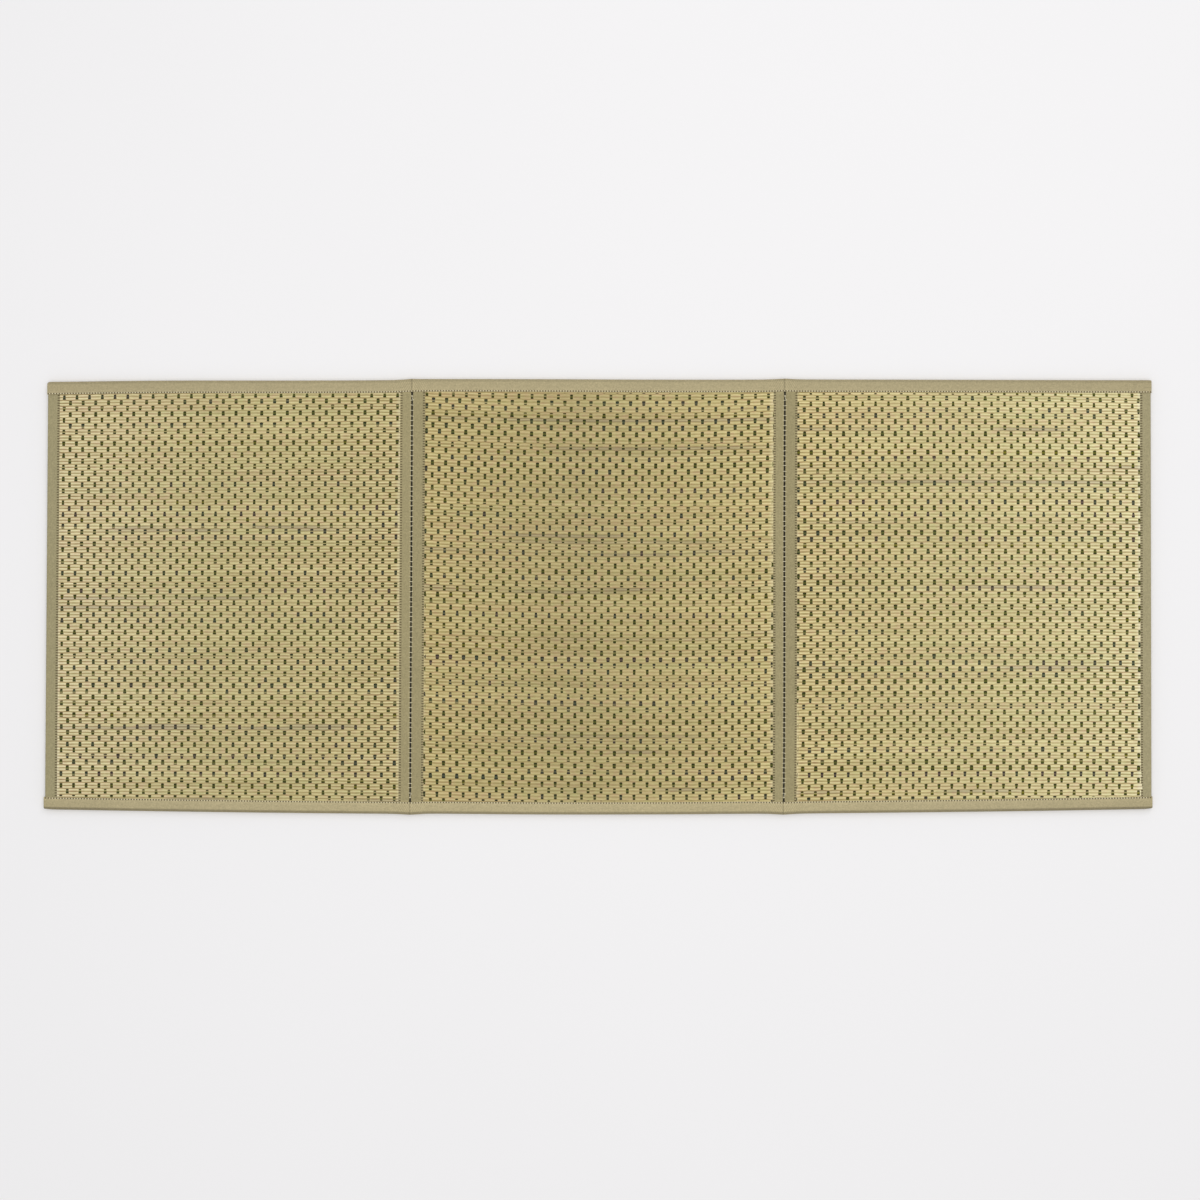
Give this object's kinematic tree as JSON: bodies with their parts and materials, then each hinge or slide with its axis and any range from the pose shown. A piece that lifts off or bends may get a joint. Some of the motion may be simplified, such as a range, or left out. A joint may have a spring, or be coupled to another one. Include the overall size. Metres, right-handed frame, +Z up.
{
  "type": "folding rush floor mat (tatami mat)",
  "caption": "Long flat woven rush mat that folds in three, with folded cloth bindings round its edges and along both folds, for sitting or sleeping on.",
  "frame": {"origin": "on the surface the mat lies on, under the middle of its bounding box", "axes": "+X along the mat's long side, +Y towards its back long side, +Z up out of its face"},
  "size_m": [1.807, 0.7096, 0.0102],
  "materials": {
    "woven_rush": "dry woven rush stalks with a faint silky sheen",
    "binding_cloth": "matt close-woven khaki cotton"
  },
  "bodies": {
    "root": {"rush_panel_left": "woven_rush", "rush_panel_middle": "woven_rush", "rush_panel_right": "woven_rush", "binding_back": "binding_cloth", "binding_front": "binding_cloth", "binding_left_end": "binding_cloth", "binding_right_end": "binding_cloth", "binding_fold_1_left": "binding_cloth", "binding_fold_1_right": "binding_cloth", "binding_fold_2_left": "binding_cloth", "binding_fold_2_right": "binding_cloth"}
  },
  "joints": []
}
